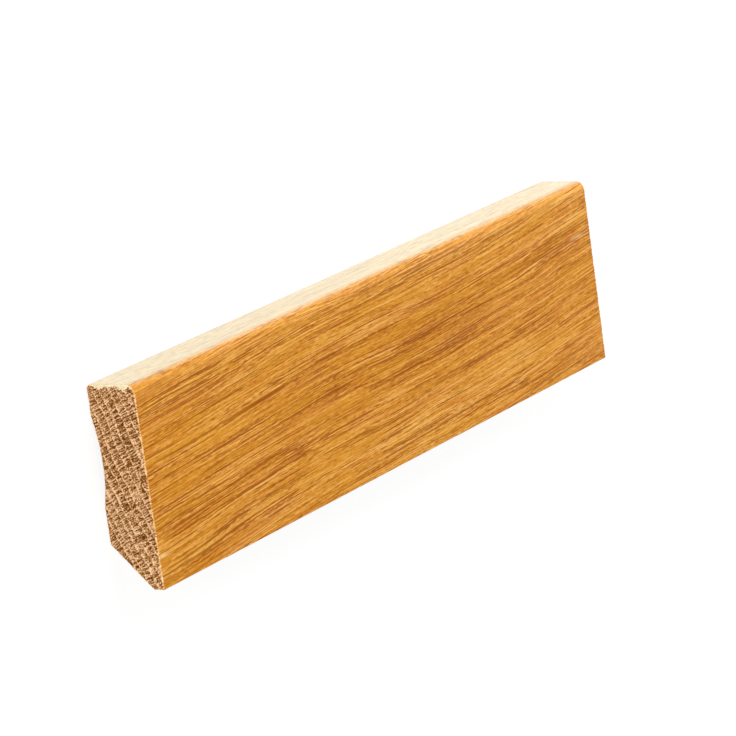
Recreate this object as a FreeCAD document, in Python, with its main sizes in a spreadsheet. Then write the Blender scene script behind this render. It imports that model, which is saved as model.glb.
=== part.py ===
import FreeCAD, Part
import math
import os
import Sketcher

# Skirting board length in solid oak.
# One stick of timber, planed to its section on all sides and sawn square at both ends.
# It lies on its wall side with the finished face up, as a loose length is kept.
# Frame in millimetres, with the origin on the floor under the middle of the board.
# +X runs along the grain, +Y from the foot to the rounded top edge, +Z out of the finished face.

DRIVING_SIZES = [
    ("board_length", 250.0, "from sawn end to sawn end"),
    ("board_height", 58.0, "from the foot to the top edge"),
    ("board_thickness", 16.0, "from the wall side to the finished face"),
    ("nose_radius", 3.0, "round where the finished face meets the top edge"),
    ("top_arris_radius", 1.0, "eased arris where the top edge meets the wall side"),
    ("toe_thickness", 3.5, "flat that the relief leaves at the foot, from the finished face"),
    ("toe_arris_radius", 0.4, "eased arris where the foot meets the finished face"),
    ("relief_rise", 12.5, "how far the slanting relief climbs the wall side"),
    ("upper_margin", 9.5, "from the top edge to the hollow of the wall side"),
    ("hollow_width", 25.0, "width of the hollow that leaves two margins to bear on the wall"),
    ("hollow_depth", 1.5, "depth of the hollow at its middle"),
]

# Ends and centre of a sketch element, and the sketch's own origin
START = 1
END = 2
CENTRE = 3
ORIGIN = (-1, 1)
SKETCH_X_AXIS = -1


def make_size_sheet(doc):
    """Fill a sheet with the driving sizes, each under its own alias."""
    sheet = doc.addObject("Spreadsheet::Sheet", "Sizes")
    for row, (alias, value, meaning) in enumerate(DRIVING_SIZES, start=1):
        sheet.set(f"A{row}", alias)
        sheet.set(f"B{row}", str(value))
        sheet.set(f"C{row}", meaning)
        sheet.setAlias(f"B{row}", alias)
    doc.recompute()
    return sheet


def origin_plane(body, role):
    """Return the body's own origin plane that has this role."""
    return next(feature for feature in body.Origin.OriginFeatures if feature.Role == role)


def line(start, end):
    """Return a sketch line between two points."""
    return Part.LineSegment(FreeCAD.Vector(*start, 0), FreeCAD.Vector(*end, 0))


def arc(centre, radius, start_degrees, end_degrees):
    """Return a sketch arc that runs anticlockwise from one angle to the other."""
    circle = Part.Circle(FreeCAD.Vector(*centre, 0), FreeCAD.Vector(0, 0, 1), radius)
    return Part.ArcOfCircle(circle, math.radians(start_degrees), math.radians(end_degrees))


def dimension(sketch, name, expression, kind, *where):
    """Add a named dimension to the sketch and bind it to the sheet."""
    index = sketch.addConstraint(Sketcher.Constraint(kind, *where))
    sketch.renameConstraint(index, name)
    sketch.setExpression(f"Constraints.{name}", expression)


def draw_section(sketch, sheet):
    """Draw the moulded section: x from foot to top edge, y from wall side to finished face."""
    foot = -sheet.board_height / 2
    top = sheet.board_height / 2
    face = sheet.board_thickness
    nose = sheet.nose_radius
    top_arris = sheet.top_arris_radius
    toe_arris = sheet.toe_arris_radius
    hollow_top = top - sheet.upper_margin
    hollow_middle = hollow_top - sheet.hollow_width / 2
    hollow_foot = hollow_top - sheet.hollow_width
    hollow_radius = (sheet.hollow_width**2 / 4 + sheet.hollow_depth**2) / (2 * sheet.hollow_depth)
    hollow_half_angle = math.degrees(math.asin(sheet.hollow_width / (2 * hollow_radius)))
    relief_foot = face - sheet.toe_thickness
    relief_top = foot + sheet.relief_rise

    # Anticlockwise round the section, from the foot along the wall side and back over the face
    relief = sketch.addGeometry(line((foot, relief_foot), (relief_top, 0)))
    lower_margin = sketch.addGeometry(line((relief_top, 0), (hollow_foot, 0)))
    hollow = sketch.addGeometry(
        arc(
            (hollow_middle, sheet.hollow_depth - hollow_radius),
            hollow_radius,
            90 - hollow_half_angle,
            90 + hollow_half_angle,
        )
    )
    upper_margin = sketch.addGeometry(line((hollow_top, 0), (top - top_arris, 0)))
    top_arris_arc = sketch.addGeometry(arc((top - top_arris, top_arris), top_arris, 270, 360))
    top_edge = sketch.addGeometry(line((top, top_arris), (top, face - nose)))
    nose_arc = sketch.addGeometry(arc((top - nose, face - nose), nose, 0, 90))
    finished_face = sketch.addGeometry(line((top - nose, face), (foot + toe_arris, face)))
    toe_arris_arc = sketch.addGeometry(arc((foot + toe_arris, face - toe_arris), toe_arris, 90, 180))
    toe = sketch.addGeometry(line((foot, face - toe_arris), (foot, relief_foot)))

    sketch.addConstraint(
        [
            Sketcher.Constraint("Coincident", relief, END, lower_margin, START),
            Sketcher.Constraint("Coincident", lower_margin, END, hollow, END),
            Sketcher.Constraint("Coincident", hollow, START, upper_margin, START),
            Sketcher.Constraint("Tangent", upper_margin, END, top_arris_arc, START),
            Sketcher.Constraint("Tangent", top_arris_arc, END, top_edge, START),
            Sketcher.Constraint("Tangent", top_edge, END, nose_arc, START),
            Sketcher.Constraint("Tangent", nose_arc, END, finished_face, START),
            Sketcher.Constraint("Tangent", finished_face, END, toe_arris_arc, START),
            Sketcher.Constraint("Tangent", toe_arris_arc, END, toe, START),
            Sketcher.Constraint("Coincident", toe, END, relief, START),
            Sketcher.Constraint("PointOnObject", lower_margin, START, SKETCH_X_AXIS),
            Sketcher.Constraint("PointOnObject", lower_margin, END, SKETCH_X_AXIS),
            Sketcher.Constraint("PointOnObject", upper_margin, START, SKETCH_X_AXIS),
            Sketcher.Constraint("PointOnObject", upper_margin, END, SKETCH_X_AXIS),
            Sketcher.Constraint("Vertical", top_edge),
            Sketcher.Constraint("Horizontal", finished_face),
            Sketcher.Constraint("Vertical", toe),
        ]
    )

    dimension(sketch, "board_height", "Sizes.board_height",
              "DistanceX", toe, START, top_edge, START, top - foot)
    dimension(sketch, "half_height", "Sizes.board_height / 2",
              "DistanceX", *ORIGIN, top_edge, START, top)
    dimension(sketch, "board_thickness", "Sizes.board_thickness",
              "DistanceY", *ORIGIN, finished_face, START, face)
    dimension(sketch, "nose_radius", "Sizes.nose_radius", "Radius", nose_arc, nose)
    dimension(sketch, "top_arris_radius", "Sizes.top_arris_radius", "Radius", top_arris_arc, top_arris)
    dimension(sketch, "toe_arris_radius", "Sizes.toe_arris_radius", "Radius", toe_arris_arc, toe_arris)
    dimension(sketch, "toe_thickness", "Sizes.toe_thickness",
              "DistanceY", toe, END, finished_face, START, sheet.toe_thickness)
    dimension(sketch, "relief_rise", "Sizes.relief_rise",
              "DistanceX", relief, START, relief, END, sheet.relief_rise)
    dimension(sketch, "upper_margin", "Sizes.upper_margin",
              "DistanceX", hollow, START, top_edge, START, sheet.upper_margin)
    dimension(sketch, "hollow_width", "Sizes.hollow_width",
              "DistanceX", hollow, END, hollow, START, sheet.hollow_width)
    dimension(sketch, "hollow_radius",
              "(Sizes.hollow_width ^ 2 / 4 + Sizes.hollow_depth ^ 2) / (2 * Sizes.hollow_depth)",
              "Radius", hollow, hollow_radius)


def make_skirting_board(doc, sheet):
    """Build the board: its moulded section, run along the whole length."""
    body = doc.addObject("PartDesign::Body", "skirting_board")
    body.Label = "skirting_board"
    body.Placement = FreeCAD.Placement()

    section = body.newObject("Sketcher::SketchObject", "moulded_section")
    section.AttachmentSupport = [(origin_plane(body, "YZ_Plane"), "")]
    section.MapMode = "FlatFace"
    draw_section(section, sheet)

    run = body.newObject("PartDesign::Pad", "moulded_run")
    run.Profile = section
    run.SideType = "Symmetric"
    run.setExpression("Length", "Sizes.board_length")
    body.Tip = run
    doc.recompute()
    return body


def check_document(doc, bodies):
    """Stop if any object failed to recompute or any board has no sound solid."""
    for item in doc.Objects:
        if "Invalid" in item.State or "Error" in item.State:
            raise RuntimeError(f"{item.Label} did not recompute: {item.State}")
    for body in bodies:
        if body.Shape.isNull() or not body.Shape.isValid():
            raise RuntimeError(f"{body.Label} has no valid shape")
        if len(body.Shape.Solids) != 1:
            raise RuntimeError(f"{body.Label} is not one solid")


def main():
    doc = FreeCAD.newDocument("skirting_board_length")
    sheet = make_size_sheet(doc)
    bodies = [make_skirting_board(doc, sheet)]
    check_document(doc, bodies)
    os.makedirs("parts", exist_ok=True)
    for body in bodies:
        body.Shape.exportStep(f"parts/{body.Label}.step")
        print(f"{body.Label}: {body.Shape.Volume:.1f} mm3, {body.Shape.BoundBox}")


main()
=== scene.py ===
import math

import bmesh
import bpy
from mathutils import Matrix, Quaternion, Vector


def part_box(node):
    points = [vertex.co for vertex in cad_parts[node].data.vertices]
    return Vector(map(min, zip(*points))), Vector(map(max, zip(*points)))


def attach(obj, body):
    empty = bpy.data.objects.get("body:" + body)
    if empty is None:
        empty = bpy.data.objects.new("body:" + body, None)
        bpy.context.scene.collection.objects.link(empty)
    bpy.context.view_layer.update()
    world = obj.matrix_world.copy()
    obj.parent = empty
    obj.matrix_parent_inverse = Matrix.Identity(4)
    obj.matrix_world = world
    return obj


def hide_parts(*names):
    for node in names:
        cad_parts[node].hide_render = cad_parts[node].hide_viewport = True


bl_info = {
    "name": "Oak skirting board length",
    "version": (1, 0, 0),
    "blender": (4, 5, 0),
    "location": "View3D > Sidebar > Skirting",
    "description": "Finishes the packed board as solid oak and sets up the studio around it",
    "category": "Object",
}

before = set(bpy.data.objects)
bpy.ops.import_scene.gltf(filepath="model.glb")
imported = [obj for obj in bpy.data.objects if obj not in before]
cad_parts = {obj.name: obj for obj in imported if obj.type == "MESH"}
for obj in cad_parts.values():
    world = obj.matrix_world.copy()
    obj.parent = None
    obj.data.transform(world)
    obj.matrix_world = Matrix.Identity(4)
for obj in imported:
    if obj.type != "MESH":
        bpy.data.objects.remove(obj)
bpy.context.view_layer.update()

CAD_NODE = "skirting_board"
BODY = "root"

# Two points nearer than TOUCH are one, and an edge shorter than NO_LENGTH has no length
MM = 0.001
TOUCH = 0.01 * MM
NO_LENGTH = TOUCH / 10

# The share of its normal along X tells where a face is: over ON_END on a sawn end, under
# ON_LONG_SIDE on a long side, and between them on a torn arris. The relief asks the same of
# each vertex, whose normal is a mean of its faces' normals.
ON_END = 0.98
ON_LONG_SIDE = 0.02
VERTEX_ON_END = 0.97
VERTEX_ON_LONG_SIDE = 0.03

# A face whose normal reaches this far towards the wall or the floor covering is left bare
BARE_SIDE = -0.6

# Mesh: the axes across the section, the facets round a torn arris, the length of the last row of
# strips in widths of that arris, how near a cut snaps to a vertex as a share of its cell, and
# the angle from which an edge keeps its crease
SECTION_AXES = (1, 2)
ARRIS_STEPS = 2
LAST_ROW = 2.5
CUT_SNAP = 1 / 20
CREASE = math.radians(30)

# Course of the fibres in millimetres: one slow wave, and a little wandering
WAVE_LENGTH = 200
WAVE_HEIGHT = 0.84
WANDER_CELL = (70, 14, 14)
WANDER_REACH = (0, 3.2, 3.0)

# Growth rings bend by RING_BEND per square millimetre. Their widths and their outlines are
# uneven: scale of the noise, and how many rings it shifts them by.
RING_BEND = -0.0019
WIDTH_NOISE = 0.7
WIDTH_SHIFT = 0.9
JAG_NOISE = 1.3
JAG_SHIFT = 0.5

# Parts of a growth ring, from 0 at its inner edge to 1 at its outer edge: where each pattern is
# none, and where it is full
EARLY_WOOD = (0.7, 0.0)
RING_LINE = (0.28, 0.08)
RING_FILL = (0.1, 0.95)

# Streaks of the grain, broad to fine: length and width in millimetres, and share of the tone.
# Single fibres are under 0.05 mm wide, too fine for the picture, so the finest are drawn at 0.34 mm.
STREAKS = (
    (220, 10.0, 0.14),
    (130, 2.8, 0.05),
    (70, 0.9, 0.10),
    (45, 0.42, 0.32),
    (12, 0.36, 0.15),
    (2.2, 0.34, 0.24),
)

# The tone lies round MEAN_TONE and is EARLY_TONE higher in the early wood. STREAK_RANGE away
# from its mean, the colour is STREAK_SHARE of the way to the palest or the darkest one.
MEAN_TONE = 0.51
STREAK_RANGE = 0.12
EARLY_TONE = 0.025
STREAK_SHARE = 0.85

# Thin lines along the grain where the planer cut a row of vessels open: socket, length and
# spacing in millimetres, the noise level that starts a line and the one that fills it, and how
# strongly the streaks' tone fills it or splits it into single fibres. The shares say how far
# each kind turns to the pale or the dark colour.
LINES = (
    ("Dark lines", 75, 0.52, 0.57, 0.65, -0.7),
    ("Pale lines", 55, 0.80, 0.60, 0.70, 0.7),
    ("Pores", 6, 0.42, 0.60, 0.70, -0.5),
)
PALE_LINE_SHARE = 0.6
DARK_LINE_SHARE = 0.8
PORE_SHARE = 0.6

# The lines crowd in bands of this length and width in millimetres, and in the early wood. The
# crowding pulls their noise level up by CROWD_PULL of its own, which is MEAN_CROWD on average.
CROWD_BAND = (60, 4.0)
EARLY_CROWD = 0.08
CROWD_PULL = 0.3
MEAN_CROWD = 0.16

# Length and width in millimetres of the patches in which the stain took more or less, the noise
# levels from which they turn gold or red and at which they are full, and how far they turn
HUE_PATCH = (40, 3.5)
GOLD_LEVELS = (0.52, 0.66)
GOLD_SHARE = 0.28
RED_LEVELS = (0.48, 0.34)
RED_SHARE = 0.2

# Where each pattern reads the noise, far enough apart that none repeats another
STREAK_PLACES = 7.3
HUE_PLACE = 71.9
CROWD_PLACE = 31.7
FIRST_LINE_PLACE = 88.6
LINE_PLACES = 11.9

# Noise across the sawn end: its cells per millimetre along the radius and round the ring, how far
# each ring is from the last one in the noise, and the noise's detail. Along the board the noise
# changes as from ring to ring, but by only INWARDS_CHANGE of a ring in each millimetre.
END_NOISE = {
    "pore groups": (1 / 2.4, 1 / 0.42, 5.3, 1.5),
    "drift": (0, 0.3, 5.3, 0),
    "torn fibres": (1 / 0.5, 1 / 0.28, 7.7, 1.5),
    "rays": (1 / 30, 1 / 0.9, 0, 0),
}
INWARDS_CHANGE = 0.04

# Pore groups stand in rungs round the ring: spacing in millimetres, how far the noise makes them
# drift, and how strongly they gather the groups. The wood between them and the rays each show
# from their first noise level and are full at the second.
RUNG_SPACING = 1.1
RUNG_DRIFT = 5.0
RUNG_PULL = 0.10
WOOD_LEVELS = (0.32, 0.64)
RAY_LEVELS = (0.70, 0.78)

# The top edge turns pale from PALE_TOP_FROM to PALE_TOP_FULL nose radii below the face, PALE_TOP_LESS
# less in the darkest streaks and PALE_TOP_MORE more in the palest: partly a thinner stain, partly a
# painted highlight of the light on the top edge. Nearer the top edge the face turns paler by
# NOSE_HIGHLIGHT_SHARE, from the first of
# NOSE_HIGHLIGHT to the second, in nose radii, as a painted highlight on the nose.
PALE_TOP_FROM = 0.2
PALE_TOP_FULL = 1.4
PALE_TOP_LESS = 0.4
PALE_TOP_MORE = 0.2
NOSE_HIGHLIGHT = (2.2, 0.5)
NOSE_HIGHLIGHT_SHARE = 0.12

# Slivers that came away from the finished face and left it pale: place along and up the face
# from its middle, length and width, all in millimetres, and how far the colour turns pale.
# The streaks fray their outlines by SLIVER_FRAY, and fade them between the SLIVER_LEVELS.
SLIVERS = (
    (-122.8, -19.4, 6.0, 1.3, 0.8),
    (116.0, 12.8, 7.0, 1.2, 0.3),
)
SLIVER_FRAY = 9.0
SLIVER_LEVELS = (5.7, 5.0)

# Brightness of the sawn end: its mean, the levels of the darkest, the main and the palest
# colour, and what each pattern adds, as its middle and its share. Rays turn dark by RAY_SHARE,
# and the torn arrises have only ARRIS_CONTRAST of the ends' contrast.
SAWN_MEAN = 0.47
SAWN_DARKEST = 0.12
SAWN_BODY = 0.5
SAWN_PALEST = 0.92
SAWN_PATTERNS = (
    ("Wood between pores", 0.5, 0.52),
    ("Tearing", 0.5, 2.3),
    ("Ring line", 0.0, 0.3),
    ("Ring fill", 0.0, -0.14),
)
RAY_SHARE = 0.6
ARRIS_CONTRAST = 0.55

# Pale fringe below the top edge, partly pulled-up fibres and partly painted light from the brightly lit
# top edge,
# in millimetres: the depth of its scallops, how ragged it is, and how far height and both of these
# together have to pass the top edge to start and to fill it
FRINGE_SCALLOP = 5.0
FRINGE_RAG = 3.0
FRINGE_LEVELS = (3.1, 3.5)
FRINGE_SHARE = 0.85

# Sockets of the Mix node when it mixes colours
MIX_FIRST = 6
MIX_SECOND = 7
MIX_RESULT = 2

# Studio: the lamps' name, power setting, size and place in metres, the camera's sensor in
# millimetres, and the floor's sides, its grey and how far it lies under the board
LAMPS = (
    ("key", "key_power", 0.8, (0.2, 0.85, 0.45)),
    ("end_lamp", "end_power", 0.6, (-1.0, 0.1, 0.25)),
    ("foot_lamp", "foot_power", 0.8, (0.0, -1.05, 0.3)),
    ("far_lamp", "far_power", 0.6, (1.0, 0.1, 0.25)),
)
SENSOR_WIDTH = 36
FLOOR_SIDES = 64
FLOOR_GREY = 0.2
FLOOR_GAP = 5 * TOUCH


def linear(hex_colour):
    """Turn an sRGB hex colour into the linear values that Blender works in."""
    values = [int(hex_colour[i : i + 2], 16) / 255 for i in (1, 3, 5)]
    return tuple(v / 12.92 if v <= 0.04045 else ((v + 0.055) / 1.055) ** 2.4 for v in values)


def read_section():
    """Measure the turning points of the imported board's section at its near end."""
    low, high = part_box(CAD_NODE)
    near = [v.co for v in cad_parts[CAD_NODE].data.vertices if v.co.x < low.x + TOUCH]
    bearing = sorted({round(c.y, 6) for c in near if c.z < low.z + TOUCH})
    if len(bearing) != 4:
        raise RuntimeError("the wall side has to rest on two margins")
    relief_top, hollow_foot, hollow_top, top_arris_start = bearing
    face = [c.y for c in near if c.z > high.z - TOUCH]
    in_hollow = [c.z for c in near if hollow_foot < c.y < hollow_top and c.z < (low.z + high.z) / 2]
    return {
        "low": low,
        "high": high,
        "toe_back": min(c.z for c in near if c.y < low.y + TOUCH),
        "relief_top": relief_top,
        "hollow_foot": hollow_foot,
        "hollow_top": hollow_top,
        "hollow_depth": max(in_hollow) - low.z,
        "top_arris": high.y - top_arris_start,
        "nose": high.y - max(face),
        "toe_arris": min(face) - low.y,
    }


section = read_section()


class BoardProperties(bpy.types.PropertyGroup):
    """Sizes and colours of the oak board."""

    end_arris: bpy.props.FloatProperty(
        name="End arris",
        description="Width of the soft edge that the saw leaves round both ends",
        default=0.35 * MM,
        unit="LENGTH",
    )
    nose_steps: bpy.props.IntProperty(
        name="Nose steps",
        description="Facets round the nose of the top edge",
        default=16,
        min=4,
    )
    side_step: bpy.props.FloatProperty(
        name="Side step",
        description="Width of the mesh strips that carry the grain's relief along the board",
        default=0.3 * MM,
        unit="LENGTH",
    )
    side_rows: bpy.props.IntProperty(
        name="Side rows",
        description="Mesh rows from one end of the board to the other",
        default=96,
        min=1,
    )
    end_step: bpy.props.FloatProperty(
        name="End step",
        description="Size of the mesh cells that carry the relief of the sawn ends",
        default=0.22 * MM,
        unit="LENGTH",
    )
    end_relief: bpy.props.FloatProperty(
        name="End relief",
        description="Depth of the open pore groups on the sawn ends",
        default=0.12 * MM,
        unit="LENGTH",
    )
    arris_relief: bpy.props.FloatProperty(
        name="Arris relief",
        description="How far the torn fibres eat into the edges of the sawn ends",
        default=0.18 * MM,
        unit="LENGTH",
    )
    side_relief: bpy.props.FloatProperty(
        name="Side relief",
        description="How much lower the soft early wood lies than the late wood on the long sides",
        default=0.03 * MM,
        unit="LENGTH",
    )
    ring_spacing: bpy.props.FloatProperty(
        name="Ring spacing",
        description="Distance from one growth ring to the next",
        default=2.6 * MM,
        unit="LENGTH",
    )
    ring_lean: bpy.props.FloatProperty(
        name="Ring lean",
        description="Angle of the growth rings to the finished face, seen on the sawn end",
        default=math.radians(25),
        subtype="ANGLE",
    )
    grain_rise: bpy.props.FloatProperty(
        name="Grain rise",
        description="Mean angle at which the grain runs out towards the top edge",
        default=math.radians(3),
        subtype="ANGLE",
    )
    lacquered_body: bpy.props.FloatVectorProperty(
        name="Lacquered oak",
        description="Main colour of the finished face",
        default=linear("#da8f27"),
        subtype="COLOR",
    )
    lacquered_light: bpy.props.FloatVectorProperty(
        name="Lacquered light streaks",
        description="Colour of the palest fibres of the finished face",
        default=linear("#f9be64"),
        subtype="COLOR",
    )
    lacquered_deep: bpy.props.FloatVectorProperty(
        name="Lacquered dark streaks",
        description="Colour of the dense late wood and filled pores of the finished face",
        default=linear("#9a4d00"),
        subtype="COLOR",
    )
    lacquered_gold: bpy.props.FloatVectorProperty(
        name="Lacquered gold",
        description="Hue of the finished face where the stain took least",
        default=linear("#dc9720"),
        subtype="COLOR",
    )
    lacquered_red: bpy.props.FloatVectorProperty(
        name="Lacquered red",
        description="Hue of the finished face where the stain took most",
        default=linear("#d58440"),
        subtype="COLOR",
    )
    sliver: bpy.props.FloatVectorProperty(
        name="Sliver",
        description="Colour of the pale wood that shows where slivers came away",
        default=linear("#ffe09c"),
        subtype="COLOR",
    )
    # Top edge colour: partly a thinner stain, partly a painted highlight of the light that falls on the
    # top edge
    thin_stain_and_painted_highlight: bpy.props.FloatVectorProperty(
        name="Thin stain and painted highlight",
        description="Colour of the top edge: a thinner stain, and a painted highlight of the light on it",
        default=linear("#ecdfa8"),
        subtype="COLOR",
    )
    thin_stain_and_painted_highlight_share: bpy.props.FloatProperty(
        name="Thin stain and painted highlight share",
        description="How far the top edge turns to its colour of thinner stain and painted highlight",
        default=0.8,
        subtype="FACTOR",
    )
    bare_body: bpy.props.FloatVectorProperty(
        name="Bare oak",
        description="Main colour of the unfinished wall side and foot",
        default=linear("#c79f70"),
        subtype="COLOR",
    )
    bare_light: bpy.props.FloatVectorProperty(
        name="Bare light streaks",
        description="Colour of the palest fibres of the wall side",
        default=linear("#e0c093"),
        subtype="COLOR",
    )
    bare_deep: bpy.props.FloatVectorProperty(
        name="Bare dark streaks",
        description="Colour of the open pores of the wall side",
        default=linear("#86592e"),
        subtype="COLOR",
    )
    end_body: bpy.props.FloatVectorProperty(
        name="Sawn end",
        description="Main colour of the end grain",
        default=linear("#b67e46"),
        subtype="COLOR",
    )
    end_light: bpy.props.FloatVectorProperty(
        name="Sawn end light",
        description="Colour of the pale wood between the pore groups of the end grain",
        default=linear("#f2cb9f"),
        subtype="COLOR",
    )
    end_deep: bpy.props.FloatVectorProperty(
        name="Sawn end pores",
        description="Colour of the dark pore groups and rays of the end grain",
        default=linear("#602f06"),
        subtype="COLOR",
    )
    # Partly painted light: the fringe's cream is the light of the bright top edge spread over pulled-up
    # fibres
    end_fringe_and_painted_light: bpy.props.FloatVectorProperty(
        name="Sawn end fringe and painted light",
        description="Colour of the pale fringe where the sawn ends meet the top edge: pulled-up fibres, and painted light from the bright top edge",
        default=linear("#fbe8c0"),
        subtype="COLOR",
    )
    arris_body: bpy.props.FloatVectorProperty(
        name="Torn arris",
        description="Main colour of the fibres that the saw lifts along its edges",
        default=linear("#efb97b"),
        subtype="COLOR",
    )
    arris_light: bpy.props.FloatVectorProperty(
        name="Torn arris light",
        description="Palest colour of the lifted fibres",
        default=linear("#ffdcaa"),
        subtype="COLOR",
    )
    arris_deep: bpy.props.FloatVectorProperty(
        name="Torn arris dark",
        description="Darkest colour of the lifted fibres",
        default=linear("#a0642c"),
        subtype="COLOR",
    )


class StudioProperties(bpy.types.PropertyGroup):
    """Viewing angle and light."""

    azimuth: bpy.props.FloatProperty(
        name="Azimuth",
        description="Heading of the camera, where 0 looks along +Y and 90 along -X",
        default=math.radians(-105.046),
        subtype="ANGLE",
    )
    elevation: bpy.props.FloatProperty(
        name="Elevation",
        description="Angle at which the camera looks down on the board",
        default=math.radians(32.915),
        subtype="ANGLE",
    )
    roll: bpy.props.FloatProperty(
        name="Roll",
        description="Turn of the camera about its own line of sight",
        default=math.radians(90.367),
        subtype="ANGLE",
    )
    distance: bpy.props.FloatProperty(
        name="Distance",
        description="From the camera to the point that it looks at",
        default=1.26736,
        unit="LENGTH",
    )
    target: bpy.props.FloatVectorProperty(
        name="Target",
        description="Point on the finished face that the camera looks at",
        default=(-11.146 * MM, 3.627 * MM, 16 * MM),
        subtype="TRANSLATION",
    )
    lens: bpy.props.FloatProperty(
        name="Lens",
        description="Focal length of the camera in millimetres on a 36 mm sensor",
        default=212.13,
    )
    room_level: bpy.props.FloatProperty(
        name="Room level",
        description="Brightness of the even light from all sides",
        default=0.13,
    )
    key_power: bpy.props.FloatProperty(
        name="Key power",
        description="Power of the large soft lamp on the side of the top edge",
        default=10.4,
        subtype="POWER",
    )
    end_power: bpy.props.FloatProperty(
        name="End power",
        description="Power of the soft lamp that faces the near sawn end",
        default=9.9,
        subtype="POWER",
    )
    foot_power: bpy.props.FloatProperty(
        name="Foot power",
        description="Power of the soft lamp on the side of the foot",
        default=8.6,
        subtype="POWER",
    )
    far_power: bpy.props.FloatProperty(
        name="Far power",
        description="Power of the soft lamp on the side of the far sawn end",
        default=8.5,
        subtype="POWER",
    )
    floor_glow: bpy.props.FloatProperty(
        name="Floor glow",
        description="Share of white that the camera and reflections see on floor and backdrop",
        default=0.86,
        subtype="FACTOR",
    )
    floor_radius: bpy.props.FloatProperty(
        name="Floor radius",
        description="From the board to the backdrop that rings it",
        default=5.0,
        unit="LENGTH",
    )
    backdrop_height: bpy.props.FloatProperty(
        name="Backdrop height",
        description="Height of the backdrop above the floor",
        default=0.7,
        unit="LENGTH",
    )


def add(tree, kind, settings=None, links=None, output=0):
    """Add a node, set its options, set or link its inputs and return one of its outputs."""
    node = tree.nodes.new(kind)
    for name, value in (settings or {}).items():
        setattr(node, name, value)
    for name, value in (links or {}).items():
        if isinstance(value, bpy.types.NodeSocket):
            tree.links.new(value, node.inputs[name])
        else:
            node.inputs[name].default_value = value
    return node.outputs[output]


def fibres(tree, grain, length_mm, width_mm, noise_place):
    """Noise that is drawn out along the grain, in features of this length and width."""
    place = add(
        tree,
        "ShaderNodeVectorMath",
        {"operation": "MULTIPLY_ADD"},
        {0: grain, 1: (1 / length_mm, 1 / width_mm, 1 / width_mm), 2: (noise_place,) * 3},
    )
    return add(tree, "ShaderNodeTexNoise", {}, {"Vector": place, "Scale": 1, "Detail": 1})


def follow_grain(group, place, x, board):
    """Take the climb, the slow wave and the wandering out, so that each fibre runs along X."""
    climb = add(
        group, "ShaderNodeMath", {"operation": "MULTIPLY"}, {0: x, 1: math.tan(board.grain_rise)}
    )
    wave_turn = add(
        group,
        "ShaderNodeMath",
        {"operation": "MULTIPLY_ADD"},
        {0: x, 1: 2 * math.pi / WAVE_LENGTH, 2: math.pi},
    )
    wave = add(group, "ShaderNodeMath", {"operation": "SINE"}, {0: wave_turn})
    rise = add(
        group, "ShaderNodeMath", {"operation": "MULTIPLY_ADD"}, {0: wave, 1: WAVE_HEIGHT, 2: climb}
    )
    wander_place = add(
        group,
        "ShaderNodeVectorMath",
        {"operation": "MULTIPLY"},
        {0: place, 1: [1 / size for size in WANDER_CELL]},
    )
    wander = add(
        group, "ShaderNodeTexNoise", {}, {"Vector": wander_place, "Scale": 1, "Detail": 1.5}, "Color"
    )
    shift = add(
        group,
        "ShaderNodeVectorMath",
        {"operation": "MULTIPLY_ADD"},
        {0: wander, 1: WANDER_REACH, 2: [-reach / 2 for reach in WANDER_REACH]},
    )
    rise_vector = add(group, "ShaderNodeCombineXYZ", {}, {"Y": rise})
    straightened = add(
        group, "ShaderNodeVectorMath", {"operation": "SUBTRACT"}, {0: place, 1: rise_vector}
    )
    return add(group, "ShaderNodeVectorMath", {"operation": "ADD"}, {0: straightened, 1: shift})


def find_rings(group, grain, board):
    """Growth rings that lean against the finished face and bend, because the pith is far off.

    Gives the radius and the place round the ring in millimetres, the ring's number, and the
    place in the ring from 0 at its inner edge to 1 at its outer edge.
    """
    lean = board.ring_lean
    across = add(
        group,
        "ShaderNodeVectorMath",
        {"operation": "DOT_PRODUCT"},
        {0: grain, 1: (0, math.sin(lean), math.cos(lean))},
        "Value",
    )
    along = add(
        group,
        "ShaderNodeVectorMath",
        {"operation": "DOT_PRODUCT"},
        {0: grain, 1: (0, math.cos(lean), -math.sin(lean))},
        "Value",
    )
    y = add(group, "ShaderNodeSeparateXYZ", {}, {0: grain}, "Y")
    bend = add(group, "ShaderNodeMath", {"operation": "MULTIPLY"}, {0: y, 1: y})
    radius = add(
        group, "ShaderNodeMath", {"operation": "MULTIPLY_ADD"}, {0: bend, 1: RING_BEND, 2: across}
    )
    ring = add(
        group, "ShaderNodeMath", {"operation": "MULTIPLY"}, {0: radius, 1: MM / board.ring_spacing}
    )
    ring_width = add(
        group,
        "ShaderNodeTexNoise",
        {"noise_dimensions": "1D"},
        {"W": ring, "Scale": WIDTH_NOISE, "Detail": 1},
    )
    uneven_ring = add(
        group, "ShaderNodeMath", {"operation": "MULTIPLY_ADD"}, {0: ring_width, 1: WIDTH_SHIFT, 2: ring}
    )
    jag_place = add(group, "ShaderNodeCombineXYZ", {}, {"X": ring, "Y": along})
    jag = add(
        group, "ShaderNodeTexNoise", {}, {"Vector": jag_place, "Scale": JAG_NOISE, "Detail": 1.5}
    )
    jagged_ring = add(
        group, "ShaderNodeMath", {"operation": "MULTIPLY_ADD"}, {0: jag, 1: JAG_SHIFT, 2: uneven_ring}
    )
    number = add(group, "ShaderNodeMath", {"operation": "FLOOR"}, {0: jagged_ring})
    place = add(group, "ShaderNodeMath", {"operation": "FRACT"}, {0: jagged_ring})
    return radius, along, number, place


def find_streaks(group, grain):
    """Sum the streaks, from broad bands of density down to bundles of fibres."""
    tone = 0.0
    for number, (length_mm, width_mm, share) in enumerate(STREAKS):
        streak = fibres(group, grain, length_mm, width_mm, STREAK_PLACES * number)
        tone = add(
            group, "ShaderNodeMath", {"operation": "MULTIPLY_ADD"}, {0: streak, 1: share, 2: tone}
        )
    return tone


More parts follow.
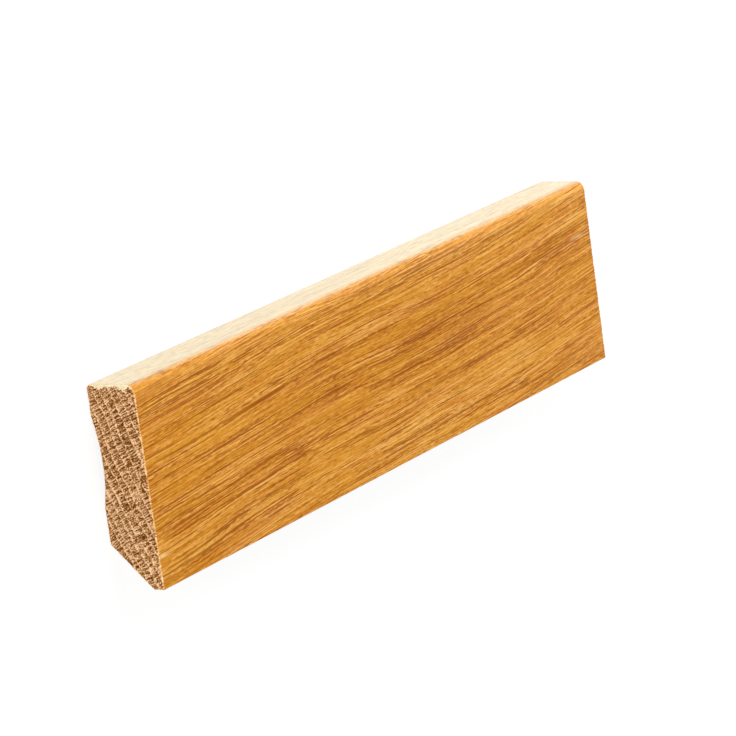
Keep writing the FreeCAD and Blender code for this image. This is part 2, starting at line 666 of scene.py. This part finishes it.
def find_lines(group, grain, early_wood, tone):
    """Cut vessels gather in bands, mostly in the early wood, and so do the pale lines."""
    band = fibres(group, grain, *CROWD_BAND, CROWD_PLACE)
    crowding = add(
        group,
        "ShaderNodeMath",
        {"operation": "MULTIPLY_ADD"},
        {0: early_wood, 1: EARLY_CROWD, 2: band},
    )
    found = {}
    for number, (name, length_mm, spacing_mm, start, full, pull) in enumerate(LINES):
        level = fibres(group, grain, length_mm, spacing_mm, FIRST_LINE_PLACE + LINE_PLACES * number)
        crowded = add(
            group,
            "ShaderNodeMath",
            {"operation": "MULTIPLY_ADD"},
            {0: crowding, 1: CROWD_PULL, 2: level},
        )
        split = add(
            group, "ShaderNodeMath", {"operation": "MULTIPLY_ADD"}, {0: tone, 1: pull, 2: crowded}
        )
        found[name] = add(
            group,
            "ShaderNodeMapRange",
            {"interpolation_type": "SMOOTHSTEP"},
            {
                "Value": split,
                "From Min": start + MEAN_CROWD + MEAN_TONE * pull,
                "From Max": full + MEAN_CROWD + MEAN_TONE * pull,
            },
        )
    return found


def find_end_patterns(group, x, radius, along, number):
    """Across the end grain: dark pore groups, each ring with its own, fine tearing, and rays."""
    end_number = add(
        group,
        "ShaderNodeMath",
        {"operation": "MULTIPLY_ADD"},
        {0: x, 1: INWARDS_CHANGE, 2: number},
    )
    end_place = add(
        group, "ShaderNodeCombineXYZ", {}, {"X": radius, "Y": along, "Z": end_number}
    )
    noise = {}
    for name, (*cells, detail) in END_NOISE.items():
        scaled = add(
            group, "ShaderNodeVectorMath", {"operation": "MULTIPLY"}, {0: end_place, 1: cells}
        )
        noise[name] = add(
            group, "ShaderNodeTexNoise", {}, {"Vector": scaled, "Scale": 1, "Detail": detail}
        )
    drifted = add(
        group,
        "ShaderNodeMath",
        {"operation": "MULTIPLY_ADD"},
        {0: noise["drift"], 1: RUNG_DRIFT, 2: along},
    )
    rung_turn = add(
        group, "ShaderNodeMath", {"operation": "MULTIPLY"}, {0: drifted, 1: 2 * math.pi / RUNG_SPACING}
    )
    rung = add(group, "ShaderNodeMath", {"operation": "SINE"}, {0: rung_turn})
    pore_level = add(
        group,
        "ShaderNodeMath",
        {"operation": "MULTIPLY_ADD"},
        {0: rung, 1: RUNG_PULL, 2: noise["pore groups"]},
    )
    return pore_level, noise["torn fibres"], noise["rays"]


def make_oak_growth(board, tree_type):
    """How the tree grew: one solid pattern in millimetres that every face of the board cuts.

    It is made once for the materials and once for the relief, which need groups of different
    types, and so the hollows lie where the dark pores are drawn.
    """
    group = bpy.data.node_groups.new("oak_growth", tree_type)
    group.interface.new_socket(name="Place", in_out="INPUT", socket_type="NodeSocketVector")
    place = group.nodes.new("NodeGroupInput").outputs["Place"]
    x = add(group, "ShaderNodeSeparateXYZ", {}, {0: place}, "X")
    grain = follow_grain(group, place, x, board)
    radius, along, ring_number, ring_place = find_rings(group, grain, board)
    pore_level, tearing, ray_level = find_end_patterns(group, x, radius, along, ring_number)

    found = {}
    for name, value, (start, full) in (
        ("Early wood", ring_place, EARLY_WOOD),
        ("Ring line", ring_place, RING_LINE),
        ("Ring fill", ring_place, RING_FILL),
        ("Wood between pores", pore_level, WOOD_LEVELS),
        ("Rays", ray_level, RAY_LEVELS),
    ):
        found[name] = add(
            group,
            "ShaderNodeMapRange",
            {"interpolation_type": "SMOOTHSTEP"},
            {"Value": value, "From Min": start, "From Max": full},
        )
    found["Tearing"] = tearing
    found["Streaks"] = find_streaks(group, grain)
    found["Hue"] = fibres(group, grain, *HUE_PATCH, HUE_PLACE)
    found.update(find_lines(group, grain, found["Early wood"], found["Streaks"]))

    result = group.nodes.new("NodeGroupOutput")
    for name, socket in found.items():
        group.interface.new_socket(name=name, in_out="OUTPUT", socket_type="NodeSocketFloat")
        group.links.new(socket, result.inputs[name])
    return group


def start_oak(name, growth):
    """Start a material, and read its place in millimetres and the growth patterns there."""
    material = bpy.data.materials.new(name)
    material.use_nodes = True
    tree = material.node_tree
    tree.nodes.clear()
    place = add(tree, "ShaderNodeTexCoord", output="Object")
    in_mm = add(tree, "ShaderNodeVectorMath", {"operation": "SCALE"}, {0: place, "Scale": 1 / MM})
    patterns = add(tree, "ShaderNodeGroup", {"node_tree": growth}, {"Place": in_mm}).node.outputs
    oak = {"Place": in_mm, **dict(patterns.items())}
    return material, tree, oak


def mix_colours(tree, body, layers):
    """Lay colours over the body colour, each by its amount times its share."""
    colour = body if isinstance(body, bpy.types.NodeSocket) else (*body, 1)
    for amount, share, other in layers:
        factor = add(tree, "ShaderNodeMath", {"operation": "MULTIPLY"}, {0: amount, 1: share})
        colour = add(
            tree,
            "ShaderNodeMix",
            {"data_type": "RGBA"},
            {"Factor": factor, MIX_FIRST: colour, MIX_SECOND: (*other, 1)},
            MIX_RESULT,
        )
    return colour


def show(tree, shader):
    """Put this shader on the surface."""
    tree.links.new(shader, tree.nodes.new("ShaderNodeOutputMaterial").inputs["Surface"])


def make_long_grain(name, growth, body, light, deep):
    """Oak cut along its fibres: adds the tone, the colour and the height that its finishes share."""
    material, tree, oak = start_oak(name, growth)
    oak["Tone"] = add(
        tree,
        "ShaderNodeMath",
        {"operation": "MULTIPLY_ADD"},
        {0: oak["Early wood"], 1: EARLY_TONE, 2: oak["Streaks"]},
    )
    layers = []
    for end_tone, other in ((MEAN_TONE + STREAK_RANGE, light), (MEAN_TONE - STREAK_RANGE, deep)):
        amount = add(
            tree,
            "ShaderNodeMapRange",
            {},
            {"Value": oak["Tone"], "From Min": MEAN_TONE, "From Max": end_tone},
        )
        layers.append((amount, STREAK_SHARE, other))
    layers.append((oak["Pale lines"], PALE_LINE_SHARE, light))
    layers.append((oak["Dark lines"], DARK_LINE_SHARE, deep))
    layers.append((oak["Pores"], PORE_SHARE, deep))
    oak["Colour"] = mix_colours(tree, body, layers)
    groove = add(
        tree, "ShaderNodeMath", {"operation": "MAXIMUM"}, {0: oak["Dark lines"], 1: oak["Pores"]}
    )
    oak["Height"] = add(
        tree, "ShaderNodeMath", {"operation": "SUBTRACT"}, {0: oak["Streaks"], 1: groove}
    )
    return material, tree, oak


def find_slivers(tree, oak, colour):
    """Layers that turn the face pale where slivers came away, with frayed outlines."""
    layers = []
    start, full = SLIVER_LEVELS
    for x_mm, y_mm, length_mm, width_mm, paleness in SLIVERS:
        stretched = add(
            tree,
            "ShaderNodeVectorMath",
            {"operation": "MULTIPLY_ADD"},
            {
                0: oak["Place"],
                1: (2 / length_mm, 2 / width_mm, 0),
                2: (-2 * x_mm / length_mm, -2 * y_mm / width_mm, 0),
            },
        )
        reach = add(tree, "ShaderNodeVectorMath", {"operation": "LENGTH"}, {0: stretched}, "Value")
        frayed = add(
            tree,
            "ShaderNodeMath",
            {"operation": "MULTIPLY_ADD"},
            {0: oak["Tone"], 1: SLIVER_FRAY, 2: reach},
        )
        inside = add(
            tree, "ShaderNodeMapRange", {}, {"Value": frayed, "From Min": start, "From Max": full}
        )
        layers.append((inside, paleness, colour))
    return layers


def make_lacquered_oak(growth, board):
    """Oak, planed and sanded, stained golden and rolled with satin lacquer.

    The coat gives a soft sheen that whitens at a grazing view. The top edge is paler, partly for a
    thinner stain and partly for a painted highlight of the light on it, and the face is painted paler
    towards the nose as a highlight.
    """
    material, tree, oak = make_long_grain(
        "lacquered_oak", growth, board.lacquered_body, board.lacquered_light, board.lacquered_deep
    )
    axes = add(tree, "ShaderNodeSeparateXYZ", {}, {0: oak["Place"]}).node.outputs
    nose = section["nose"] / MM
    face = section["high"].z / MM
    top = section["high"].y / MM
    layers = []
    for (start, full), share, hue in (
        (GOLD_LEVELS, GOLD_SHARE, board.lacquered_gold),
        (RED_LEVELS, RED_SHARE, board.lacquered_red),
    ):
        amount = add(
            tree, "ShaderNodeMapRange", {}, {"Value": oak["Hue"], "From Min": start, "From Max": full}
        )
        layers.append((amount, share, hue))
    pale_top_share = add(
        tree,
        "ShaderNodeMapRange",
        {},
        {
            "Value": oak["Tone"],
            "From Min": MEAN_TONE - STREAK_RANGE,
            "From Max": MEAN_TONE + STREAK_RANGE,
            "To Min": board.thin_stain_and_painted_highlight_share - PALE_TOP_LESS,
            "To Max": board.thin_stain_and_painted_highlight_share + PALE_TOP_MORE,
        },
    )
    # The top edge turns to its pale colour: partly a thinner stain, partly a painted highlight of the
    # light on it
    pale_top_stain_and_highlight = add(
        tree,
        "ShaderNodeMapRange",
        {"interpolation_type": "SMOOTHSTEP"},
        {
            "Value": axes["Z"],
            "From Min": face - PALE_TOP_FROM * nose,
            "From Max": face - PALE_TOP_FULL * nose,
            "To Max": pale_top_share,
        },
    )
    # Painted highlight: the face turns paler towards the nose, where the light falls on it
    start, full = NOSE_HIGHLIGHT
    nose_highlight = add(
        tree,
        "ShaderNodeMapRange",
        {"interpolation_type": "SMOOTHSTEP"},
        {"Value": axes["Y"], "From Min": top - start * nose, "From Max": top - full * nose},
    )
    layers.append((nose_highlight, NOSE_HIGHLIGHT_SHARE, board.lacquered_light))
    layers.append((pale_top_stain_and_highlight, 1.0, board.thin_stain_and_painted_highlight))
    layers.extend(find_slivers(tree, oak, board.sliver))
    stained = mix_colours(tree, oak["Colour"], layers)
    bump = add(
        tree, "ShaderNodeBump", {}, {"Strength": 0.6, "Distance": 0.06 * MM, "Height": oak["Height"]}
    )
    shader = add(
        tree,
        "ShaderNodeBsdfPrincipled",
        {},
        {
            "Base Color": stained,
            "Roughness": 0.4,
            "Specular IOR Level": 0.08,
            "Normal": bump,
            "Coat Weight": 1.0,
            "Coat IOR": 1.5,
            "Coat Roughness": 0.2,
        },
    )
    show(tree, shader)
    return material


def make_planed_bare_oak(growth, board):
    """Oak, planed and left bare: dull and paler, with its pores open."""
    material, tree, oak = make_long_grain(
        "planed_bare_oak", growth, board.bare_body, board.bare_light, board.bare_deep
    )
    bump = add(
        tree, "ShaderNodeBump", {}, {"Strength": 0.8, "Distance": 0.08 * MM, "Height": oak["Height"]}
    )
    shader = add(
        tree,
        "ShaderNodeBsdfPrincipled",
        {},
        {"Base Color": oak["Colour"], "Roughness": 0.75, "Specular IOR Level": 0.3, "Normal": bump},
    )
    show(tree, shader)
    return material


def make_sawn_oak(name, growth, contrast, fringe_and_painted_light_colour, body, light, deep):
    """Oak, cross-cut by a fine saw: matt end grain with pale rings and torn dark pore groups.

    At the top edge a ragged pale fringe is painted: partly fibres that the saw pulled up, and partly
    painted light from the brightly lit top edge. The contrast is full on the sawn ends, and lower on
    their arrises, where lifted fibres cover the pores.
    """
    material, tree, oak = start_oak(name, growth)
    level = SAWN_MEAN
    for pattern, middle, share in SAWN_PATTERNS:
        centred = add(
            tree, "ShaderNodeMath", {"operation": "SUBTRACT"}, {0: oak[pattern], 1: middle}
        )
        level = add(
            tree,
            "ShaderNodeMath",
            {"operation": "MULTIPLY_ADD"},
            {0: centred, 1: share * contrast, 2: level},
        )
    layers = []
    for end_level, other in ((SAWN_PALEST, light), (SAWN_DARKEST, deep)):
        amount = add(
            tree,
            "ShaderNodeMapRange",
            {},
            {"Value": level, "From Min": SAWN_BODY, "From Max": end_level},
        )
        layers.append((amount, 1.0, other))
    layers.append((oak["Rays"], RAY_SHARE, deep))
    y = add(tree, "ShaderNodeSeparateXYZ", {}, {0: oak["Place"]}, "Y")
    scalloped = add(
        tree, "ShaderNodeMath", {"operation": "MULTIPLY_ADD"}, {0: oak["Hue"], 1: FRINGE_SCALLOP, 2: y}
    )
    ragged = add(
        tree,
        "ShaderNodeMath",
        {"operation": "MULTIPLY_ADD"},
        {0: oak["Tearing"], 1: FRINGE_RAG, 2: scalloped},
    )
    top = section["high"].y / MM
    # Partly painted light: a pale band below the top edge of the sawn end, over pulled-up fibres
    start, full = FRINGE_LEVELS
    fringe = add(
        tree,
        "ShaderNodeMapRange",
        {},
        {"Value": ragged, "From Min": top + start, "From Max": top + full},
    )
    layers.append((fringe, FRINGE_SHARE, fringe_and_painted_light_colour))
    colour = mix_colours(tree, body, layers)
    bump = add(tree, "ShaderNodeBump", {}, {"Strength": 0.9, "Distance": 0.14 * MM, "Height": level})
    shader = add(
        tree,
        "ShaderNodeBsdfPrincipled",
        {},
        {"Base Color": colour, "Roughness": 0.9, "Specular IOR Level": 0.1, "Normal": bump},
    )
    show(tree, shader)
    return material


def find_edges(bm, corner):
    """Return the edges that run along the board at this corner of the section."""
    def is_there(vert):
        return (Vector(vert.co.yz) - Vector(corner)).length < TOUCH
    return [edge for edge in bm.edges if all(is_there(vert) for vert in edge.verts)]


def round_edges(bm, edges, radius, steps):
    """Round these edges with a circular bevel."""
    bmesh.ops.bevel(
        bm,
        geom=edges,
        offset=radius,
        offset_type="OFFSET",
        affect="EDGES",
        segments=steps,
        profile=0.5,
        material=-1,
        clamp_overlap=False,
    )


def end_faces(bm):
    """Return the faces of both sawn ends."""
    return [face for face in bm.faces if abs(face.normal.x) > ON_END]


def run_section(bm, board):
    """Run the moulded section along the board and round its toe, its nose and its back arris."""
    low, high = section["low"], section["high"]
    toe = (low.y, high.z)
    back_of_top = (high.y, low.z)
    nose = (high.y, high.z)
    corners = [
        toe,
        (low.y, section["toe_back"]),
        (section["relief_top"], low.z),
        (section["hollow_foot"], low.z),
        (section["hollow_top"], low.z),
        back_of_top,
        nose,
    ]
    outline = bm.faces.new([bm.verts.new((low.x, y, z)) for y, z in corners])
    run = bmesh.ops.extrude_face_region(bm, geom=[outline], use_keep_orig=True)
    moved = [item for item in run["geom"] if isinstance(item, bmesh.types.BMVert)]
    bmesh.ops.translate(bm, verts=moved, vec=(high.x - low.x, 0, 0))
    bmesh.ops.recalc_face_normals(bm, faces=bm.faces)
    # The smaller the radius, the fewer the facets
    for corner, radius, coarseness in (
        (nose, section["nose"], 1),
        (back_of_top, section["top_arris"], 2),
        (toe, section["toe_arris"], 4),
    ):
        round_edges(bm, find_edges(bm, corner), radius, board.nose_steps // coarseness)


def split_sides(bm, step):
    """Split the wide sides into strips along the board."""
    by_count = {}
    for face in end_faces(bm):
        for edge in face.edges:
            by_count.setdefault(round(edge.calc_length() / step), []).append(edge)
    for count, edges in by_count.items():
        if count > 1:
            bmesh.ops.subdivide_edges(bm, edges=edges, cuts=count - 1, use_grid_fill=True)


def press_hollow(bm):
    """Press the shallow arc of the hollow into the wall side, between its two bearing margins."""
    low = section["low"]
    half_width = (section["hollow_top"] - section["hollow_foot"]) / 2
    middle = (section["hollow_top"] + section["hollow_foot"]) / 2
    depth = section["hollow_depth"]
    arc_radius = (half_width**2 + depth**2) / (2 * depth)
    for vert in bm.verts:
        if vert.co.z < low.z + TOUCH and abs(vert.co.y - middle) < half_width:
            rise = math.sqrt(arc_radius**2 - (vert.co.y - middle) ** 2)
            vert.co.z = low.z + depth - arc_radius + rise


def cut_ends(bm, step):
    """Cut the sawn ends into fine cells, one plane after the other across each axis."""
    low, high = section["low"], section["high"]
    for axis in SECTION_AXES:
        count = math.ceil((high[axis] - low[axis]) / step)
        uncut = end_faces(bm)
        for number in range(1, count):
            point = low.lerp(high, number / count)
            normal = Vector([float(i == axis) for i in range(3)])
            # A dict keeps its order, while a set of mesh parts changes it from run to run
            parts = dict.fromkeys(part for face in uncut for part in (*face.edges, *face.verts))
            cut = bmesh.ops.bisect_plane(
                bm, geom=[*uncut, *parts], dist=CUT_SNAP * step, plane_co=point, plane_no=normal
            )
            faces = [item for item in cut["geom"] if isinstance(item, bmesh.types.BMFace)]
            uncut = [face for face in faces if face.calc_center_median()[axis] > point[axis]]


def split_length(bm, rows, last_row):
    """Split the strips into rows along the board's length, with a short last row at each end."""
    half_length = section["high"].x
    for side in (-1, 1):
        geom = [*bm.verts, *bm.edges, *bm.faces]
        point = (side * (half_length - last_row), 0, 0)
        bmesh.ops.bisect_plane(bm, geom=geom, dist=TOUCH, plane_co=point, plane_no=(1, 0, 0))
    along = [edge for edge in bm.edges if edge.calc_length() > half_length]
    bmesh.ops.subdivide_edges(bm, edges=along, cuts=rows - 1, use_grid_fill=True)


def make_board_mesh(board, materials):
    """Make the board's mesh and give each face the finish of its side."""
    bm = bmesh.new()
    run_section(bm, board)
    split_sides(bm, board.side_step)
    press_hollow(bm)
    rim = dict.fromkeys(edge for face in end_faces(bm) for edge in face.edges)
    round_edges(bm, list(rim), board.end_arris, ARRIS_STEPS)
    cut_ends(bm, board.end_step)
    split_length(bm, board.side_rows, LAST_ROW * board.end_arris)
    bmesh.ops.recalc_face_normals(bm, faces=bm.faces)

    names = list(materials)
    for face in bm.faces:
        normal = face.normal
        if abs(normal.x) > ON_END:
            finish = "sawn_end_grain"
        elif abs(normal.x) > ON_LONG_SIDE:
            finish = "torn_arris_fibres"
        elif min(normal.y, normal.z) < BARE_SIDE:
            finish = "planed_bare_oak"
        else:
            finish = "lacquered_oak"
        face.material_index = names.index(finish)
        face.smooth = True
    # Where the cuts meet the rim, some leave an edge without length
    bmesh.ops.dissolve_degenerate(bm, dist=NO_LENGTH, edges=bm.edges)
    for edge in bm.edges:
        edge.smooth = edge.calc_face_angle(0) < CREASE
    mesh = bpy.data.meshes.new("oak_board")
    bm.to_mesh(mesh)
    bm.free()
    for material in materials.values():
        mesh.materials.append(material)
    return mesh


def make_relief(board, growth):
    """Sink the soft wood, the pore groups and the torn arris into the surface, never out of it."""
    tree = bpy.data.node_groups.new("oak_relief", "GeometryNodeTree")
    tree.interface.new_socket(name="Board", in_out="INPUT", socket_type="NodeSocketGeometry")
    tree.interface.new_socket(name="Board", in_out="OUTPUT", socket_type="NodeSocketGeometry")
    given = tree.nodes.new("NodeGroupInput").outputs["Board"]
    place = add(tree, "GeometryNodeInputPosition")
    normal = add(tree, "GeometryNodeInputNormal")
    in_mm = add(tree, "ShaderNodeVectorMath", {"operation": "SCALE"}, {0: place, "Scale": 1 / MM})
    oak = add(tree, "GeometryNodeGroup", {"node_tree": growth}, {"Place": in_mm}).node.outputs

    normal_x = add(tree, "ShaderNodeSeparateXYZ", {}, {0: normal}, "X")
    facing = add(tree, "ShaderNodeMath", {"operation": "ABSOLUTE"}, {0: normal_x})
    on_end = add(
        tree, "ShaderNodeMath", {"operation": "GREATER_THAN"}, {0: facing, 1: VERTEX_ON_END}
    )
    on_side = add(
        tree, "ShaderNodeMath", {"operation": "LESS_THAN"}, {0: facing, 1: VERTEX_ON_LONG_SIDE}
    )
    on_arris = add(
        tree,
        "ShaderNodeMath",
        {"operation": "COMPARE"},
        {
            0: facing,
            1: (VERTEX_ON_END + VERTEX_ON_LONG_SIDE) / 2,
            2: (VERTEX_ON_END - VERTEX_ON_LONG_SIDE) / 2,
        },
    )
    open_pores = add(
        tree, "ShaderNodeMath", {"operation": "SUBTRACT"}, {0: 1.0, 1: oak["Wood between pores"]}
    )
    depth = 0.0
    for where, sunk, deepest in (
        (on_end, open_pores, board.end_relief),
        (on_arris, open_pores, board.arris_relief),
        (on_side, oak["Early wood"], board.side_relief),
    ):
        here = add(tree, "ShaderNodeMath", {"operation": "MULTIPLY"}, {0: where, 1: sunk})
        depth = add(
            tree, "ShaderNodeMath", {"operation": "MULTIPLY_ADD"}, {0: here, 1: -deepest, 2: depth}
        )
    offset = add(tree, "ShaderNodeVectorMath", {"operation": "SCALE"}, {0: normal, "Scale": depth})
    sunken = add(tree, "GeometryNodeSetPosition", {}, {"Geometry": given, "Offset": offset})
    tree.links.new(sunken, tree.nodes.new("NodeGroupOutput").inputs["Board"])
    return tree


class SKIRTING_OT_board(bpy.types.Operator):
    """Make the oak board in place of the plain packed one"""

    bl_idname = "skirting.board"
    bl_label = "Make the oak board"

    def execute(self, context):
        board = context.scene.skirting_board
        growth = make_oak_growth(board, "ShaderNodeTree")
        materials = {
            "lacquered_oak": make_lacquered_oak(growth, board),
            "planed_bare_oak": make_planed_bare_oak(growth, board),
        }
        end_colours = (board.end_body, board.end_light, board.end_deep)
        arris_colours = (board.arris_body, board.arris_light, board.arris_deep)
        for name, contrast, colours in (
            ("sawn_end_grain", 1.0, end_colours),
            ("torn_arris_fibres", ARRIS_CONTRAST, arris_colours),
        ):
            materials[name] = make_sawn_oak(name, growth, contrast, board.end_fringe_and_painted_light, *colours)
        piece = bpy.data.objects.new("oak_board", make_board_mesh(board, materials))
        context.scene.collection.objects.link(piece)
        relief = piece.modifiers.new("open_grain", "NODES")
        relief.node_group = make_relief(board, make_oak_growth(board, "GeometryNodeTree"))
        piece.modifiers.new("flat_faces_stay_flat", "WEIGHTED_NORMAL").keep_sharp = True
        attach(piece, BODY)
        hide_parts(CAD_NODE)
        return {"FINISHED"}


class SKIRTING_OT_studio(bpy.types.Operator):
    """Set up the pale floor, the soft lamps and the camera"""

    bl_idname = "skirting.studio"
    bl_label = "Set up the studio"

    def execute(self, context):
        studio = context.scene.skirting_studio
        self.make_floor(context, studio)
        self.make_room(context, studio)
        for name, power, size, place in LAMPS:
            self.make_lamp(context, name, getattr(studio, power), size, Vector(place))
        self.make_camera(context, studio)
        context.scene.view_settings.view_transform = "Standard"
        return {"FINISHED"}

    def make_floor(self, context, studio):
        """A pale floor and backdrop that go white to the camera but keep the board's shadow."""
        material = bpy.data.materials.new("pale_floor")
        material.use_nodes = True
        tree = material.node_tree
        tree.nodes.clear()
        path = add(tree, "ShaderNodeLightPath").node.outputs
        seen = path["Is Camera Ray"]
        for ray in ("Is Glossy Ray", "Is Transmission Ray"):
            seen = add(tree, "ShaderNodeMath", {"operation": "MAXIMUM"}, {0: seen, 1: path[ray]})
        strength = add(
            tree, "ShaderNodeMath", {"operation": "MULTIPLY"}, {0: seen, 1: studio.floor_glow}
        )
        glow = add(tree, "ShaderNodeEmission", {}, {"Color": (1, 1, 1, 1), "Strength": strength})
        matt = add(tree, "ShaderNodeBsdfDiffuse", {}, {"Color": (FLOOR_GREY, FLOOR_GREY, FLOOR_GREY, 1)})
        show(tree, add(tree, "ShaderNodeAddShader", {}, {0: matt, 1: glow}))
        bm = bmesh.new()
        bmesh.ops.create_circle(bm, cap_ends=True, segments=FLOOR_SIDES, radius=studio.floor_radius)
        rim = [edge for edge in bm.edges if edge.is_boundary]
        wall = bmesh.ops.extrude_edge_only(bm, edges=rim)
        raised = [item for item in wall["geom"] if isinstance(item, bmesh.types.BMVert)]
        bmesh.ops.translate(bm, verts=raised, vec=(0, 0, studio.backdrop_height))
        bmesh.ops.translate(bm, verts=bm.verts, vec=(0, 0, section["low"].z - FLOOR_GAP))
        mesh = bpy.data.meshes.new("floor")
        bm.to_mesh(mesh)
        bm.free()
        mesh.materials.append(material)
        floor = bpy.data.objects.new("floor", mesh)
        context.scene.collection.objects.link(floor)

    def make_room(self, context, studio):
        """Even light from all sides above the backdrop."""
        world = bpy.data.worlds.new("room")
        world.use_nodes = True
        tree = world.node_tree
        tree.nodes.clear()
        light = add(
            tree, "ShaderNodeBackground", {}, {"Color": (1, 1, 1, 1), "Strength": studio.room_level}
        )
        tree.links.new(light, tree.nodes.new("ShaderNodeOutputWorld").inputs["Surface"])
        context.scene.world = world

    def make_lamp(self, context, name, power, size, place):
        """A square soft lamp that faces the board."""
        light = bpy.data.lights.new(name, "AREA")
        light.energy = power
        light.size = size
        lamp = bpy.data.objects.new(name, light)
        lamp.location = place
        lamp.rotation_mode = "QUATERNION"
        lamp.rotation_quaternion = (-place).to_track_quat("-Z", "Y")
        lamp.visible_camera = False
        # Mirrored in the lacquer, the lamps would whiten the face when it is seen from the side
        lamp.visible_glossy = False
        context.scene.collection.objects.link(lamp)

    def make_camera(self, context, studio):
        """A long lens that looks down on the board, turned so that its length crosses the picture."""
        sight = Vector(
            (
                -math.sin(studio.azimuth) * math.cos(studio.elevation),
                math.cos(studio.azimuth) * math.cos(studio.elevation),
                -math.sin(studio.elevation),
            )
        )
        camera = bpy.data.objects.new("camera", bpy.data.cameras.new("camera"))
        camera.data.lens = studio.lens
        camera.data.sensor_width = SENSOR_WIDTH
        camera.location = Vector(studio.target) - sight * studio.distance
        camera.rotation_mode = "QUATERNION"
        camera.rotation_quaternion = sight.to_track_quat("-Z", "Y") @ Quaternion((0, 0, 1), studio.roll)
        context.scene.collection.objects.link(camera)
        context.scene.camera = camera


class SKIRTING_PT_panel(bpy.types.Panel):
    """Sidebar panel with the board's and the studio's settings"""

    bl_idname = "SKIRTING_PT_panel"
    bl_label = "Skirting board"
    bl_space_type = "VIEW_3D"
    bl_region_type = "UI"
    bl_category = "Skirting"

    def draw(self, context):
        for operator, settings in (
            (SKIRTING_OT_board, context.scene.skirting_board),
            (SKIRTING_OT_studio, context.scene.skirting_studio),
        ):
            self.layout.operator(operator.bl_idname)
            for name in settings.bl_rna.properties.keys():
                if name not in ("rna_type", "name"):
                    self.layout.prop(settings, name)


CLASSES = (
    BoardProperties,
    StudioProperties,
    SKIRTING_OT_board,
    SKIRTING_OT_studio,
    SKIRTING_PT_panel,
)


def register():
    for cls in CLASSES:
        bpy.utils.register_class(cls)
    bpy.types.Scene.skirting_board = bpy.props.PointerProperty(type=BoardProperties)
    bpy.types.Scene.skirting_studio = bpy.props.PointerProperty(type=StudioProperties)


def unregister():
    del bpy.types.Scene.skirting_studio
    del bpy.types.Scene.skirting_board
    for cls in reversed(CLASSES):
        bpy.utils.unregister_class(cls)


def main():
    register()
    bpy.ops.skirting.board()
    bpy.ops.skirting.studio()


if __name__ == "__main__":
    main()
